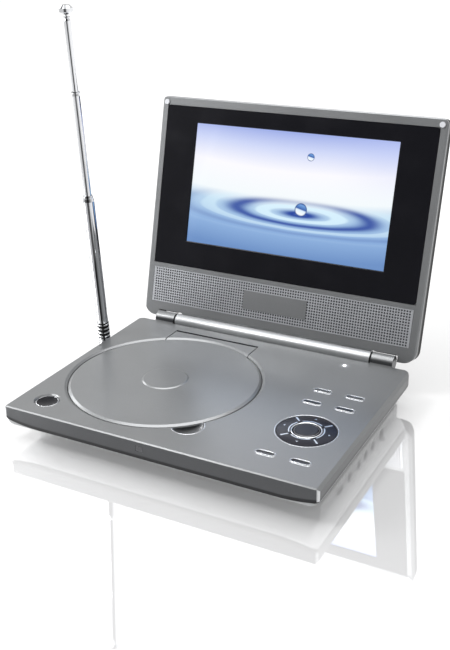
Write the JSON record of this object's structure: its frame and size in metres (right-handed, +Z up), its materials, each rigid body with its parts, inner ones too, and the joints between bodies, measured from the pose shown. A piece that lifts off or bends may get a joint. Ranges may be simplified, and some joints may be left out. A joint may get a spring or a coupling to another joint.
{
  "type": "portable disc player",
  "caption": "Flat portable disc player: round disc door and keypad on the base, screen in a tilting lid on a barrel hinge, telescopic aerial at the side.",
  "frame": {"origin": "centre of the deck's plan, on the plane that the feet stand on, 1.2 mm below the lower case's flat underside", "axes": "+X to the user's right, +Y to the back, towards the hinge, +Z up"},
  "size_m": [0.2256, 0.2182, 0.2572],
  "materials": {
    "silver_paint": "satin metallic paint",
    "bright_silver": "satin silver paint",
    "case_silver": "satin paint",
    "inner_plastic": "matt",
    "gloss_black": "gloss",
    "rear_black": "fine texture",
    "rubber": "matt",
    "pad_rubber": "matt",
    "steel": "brushed",
    "thin_metal": "satin",
    "grille_metal": "perforated",
    "chrome": "polished",
    "board": "solder mask",
    "battery_wrap": "shrink film",
    "white_plastic": "translucent",
    "screen_glass": "gloss",
    "lens_plastic": "gloss"
  },
  "bodies": {
    "base": {"bottom_case": "case_silver", "deck_cover": "silver_paint", "rubber_feet": "rubber", "case_screws": "steel", "door_hinge_pins": "steel", "disc_well": "inner_plastic", "traverse_chassis": "thin_metal", "chassis_bushes": "rubber", "spindle_motor": "steel", "guide_rods": "steel", "sled_motor": "steel", "main_board": "board", "board_components": "inner_plastic", "side_jacks": "inner_plastic", "battery_pack": "battery_wrap", "key_board": "board", "rubber_keypad": "pad_rubber", "light_pipe": "white_plastic", "ir_window": "gloss_black", "aerial_socket": "inner_plastic"},
    "door": {"disc_door": "silver_paint"},
    "open_button": {"open_button": "gloss_black"},
    "latch": {"door_latch": "inner_plastic"},
    "spindle": {"spindle_hub": "inner_plastic"},
    "sled": {"pickup_sled": "inner_plastic", "objective_lens": "lens_plastic"},
    "screw": {"lead_screw": "steel"},
    "switch": {"power_switch": "inner_plastic"},
    "key_back_left": {"key_back_left": "bright_silver"},
    "key_back_right": {"key_back_right": "bright_silver"},
    "key_middle_left": {"key_middle_left": "bright_silver"},
    "key_middle_right": {"key_middle_right": "bright_silver"},
    "key_front_left": {"key_front_left": "bright_silver"},
    "key_front_right": {"key_front_right": "bright_silver"},
    "gimbal": {"nav_gimbal": "inner_plastic"},
    "nav": {"nav_ring": "gloss_black"},
    "centre": {"centre_button": "gloss_black"},
    "lid": {"lid_frame": "silver_paint", "screen_bezel": "gloss_black", "lcd_glass": "screen_glass", "backlight_module": "inner_plastic", "lcd_driver_board": "board", "inverter_board": "board", "speaker_grille": "grille_metal", "nameplate": "silver_paint", "speaker_frames": "thin_metal", "speaker_cones": "inner_plastic", "lid_bumpers": "white_plastic", "lid_screws": "steel", "lid_back": "rear_black", "hinge_barrel": "bright_silver", "hinge_shafts": "steel", "display_cable": "inner_plastic"},
    "aerial_base": {"aerial_swivel": "chrome", "aerial_pin": "steel"},
    "aerial_lower": {"aerial_tube_1": "chrome"},
    "aerial_middle": {"aerial_tube_2": "chrome"},
    "aerial_upper": {"aerial_tube_3": "chrome"},
    "aerial_tip": {"aerial_rod": "chrome", "aerial_knob": "chrome"}
  },
  "joints": [
    {"name": "lid_hinge", "type": "hinge", "parent": "base", "child": "lid", "pos_m": [0, 0.0855, 0.0252], "axis": [-1, 0, 0], "range_deg": [-104.4, 35.6]},
    {"name": "door_hinge", "type": "hinge", "parent": "base", "child": "door", "pos_m": [-0.035, 0.0676, 0.0226], "axis": [-1, 0, 0], "range_deg": [0, 65]},
    {"name": "open_button_press", "type": "slide", "parent": "base", "child": "open_button", "axis": [0, 0, -1], "range_m": [0, 0.0015], "stiffness_N_per_m": 500},
    {"name": "latch_slide", "type": "slide", "parent": "base", "child": "latch", "axis": [-0.6581, -0.753, 0], "range_m": [0, 0.0015]},
    {"name": "spindle_spin", "type": "hinge", "parent": "base", "child": "spindle", "pos_m": [-0.035, -0.0025, 0.0178], "axis": [0, 0, 1], "continuous": true},
    {"name": "sled_slide", "type": "slide", "parent": "base", "child": "sled", "axis": [1, 0, 0], "range_m": [0, 0.033]},
    {"name": "screw_spin", "type": "hinge", "parent": "base", "child": "screw", "pos_m": [0, 0.021, 0.0092], "axis": [1, 0, 0], "range_deg": [0, 3962]},
    {"name": "power_switch_slide", "type": "slide", "parent": "base", "child": "switch", "axis": [0, 1, 0], "range_m": [0, 0.003]},
    {"name": "key_back_left_press", "type": "slide", "parent": "base", "child": "key_back_left", "axis": [0, 0, -1], "range_m": [0, 0.0008], "stiffness_N_per_m": 600},
    {"name": "key_back_right_press", "type": "slide", "parent": "base", "child": "key_back_right", "axis": [0, 0, -1], "range_m": [0, 0.0008], "stiffness_N_per_m": 600},
    {"name": "key_middle_left_press", "type": "slide", "parent": "base", "child": "key_middle_left", "axis": [0, 0, -1], "range_m": [0, 0.0008], "stiffness_N_per_m": 600},
    {"name": "key_middle_right_press", "type": "slide", "parent": "base", "child": "key_middle_right", "axis": [0, 0, -1], "range_m": [0, 0.0008], "stiffness_N_per_m": 600},
    {"name": "key_front_left_press", "type": "slide", "parent": "base", "child": "key_front_left", "axis": [0, 0, -1], "range_m": [0, 0.0008], "stiffness_N_per_m": 600},
    {"name": "key_front_right_press", "type": "slide", "parent": "base", "child": "key_front_right", "axis": [0, 0, -1], "range_m": [0, 0.0008], "stiffness_N_per_m": 600},
    {"name": "nav_rock_front_back", "type": "hinge", "parent": "base", "child": "gimbal", "pos_m": [0.0765, -0.0245, 0.0212], "axis": [1, 0, 0], "range_deg": [-1.5, 1.5], "stiffness_Nm_per_rad": 0.3},
    {"name": "nav_rock_side_side", "type": "hinge", "parent": "gimbal", "child": "nav", "pos_m": [0.0765, -0.0245, 0.0212], "axis": [0, 1, 0], "range_deg": [-1.5, 1.5], "stiffness_Nm_per_rad": 0.3},
    {"name": "centre_press", "type": "slide", "parent": "base", "child": "centre", "axis": [0, 0, -1], "range_m": [0, 0.0008], "stiffness_N_per_m": 600},
    {"name": "aerial_swing", "type": "hinge", "parent": "base", "child": "aerial_base", "pos_m": [-0.113, 0.041, 0.0078], "axis": [-1, 0, 0], "range_deg": [-84, 92]},
    {"name": "aerial_tilt", "type": "hinge", "parent": "aerial_base", "child": "aerial_lower", "pos_m": [-0.113, 0.041, 0.0078], "axis": [0, -0.9976, -0.0698], "range_deg": [0, 85]},
    {"name": "middle_tube_slide", "type": "slide", "parent": "aerial_lower", "child": "aerial_middle", "axis": [0, -0.0698, 0.9976], "range_m": [-0.07, 0]},
    {"name": "upper_tube_slide", "type": "slide", "parent": "aerial_middle", "child": "aerial_upper", "axis": [0, -0.0698, 0.9976], "range_m": [-0.046, 0]},
    {"name": "rod_slide", "type": "slide", "parent": "aerial_upper", "child": "aerial_tip", "axis": [0, -0.0698, 0.9976], "range_m": [0, 0.034]}
  ],
  "couplings": [
    {"joint": "latch_slide", "follows": "open_button_press", "ratio": 1},
    {"joint": "screw_spin", "follows": "sled_slide", "rad_per_m": 2094.4}
  ]
}
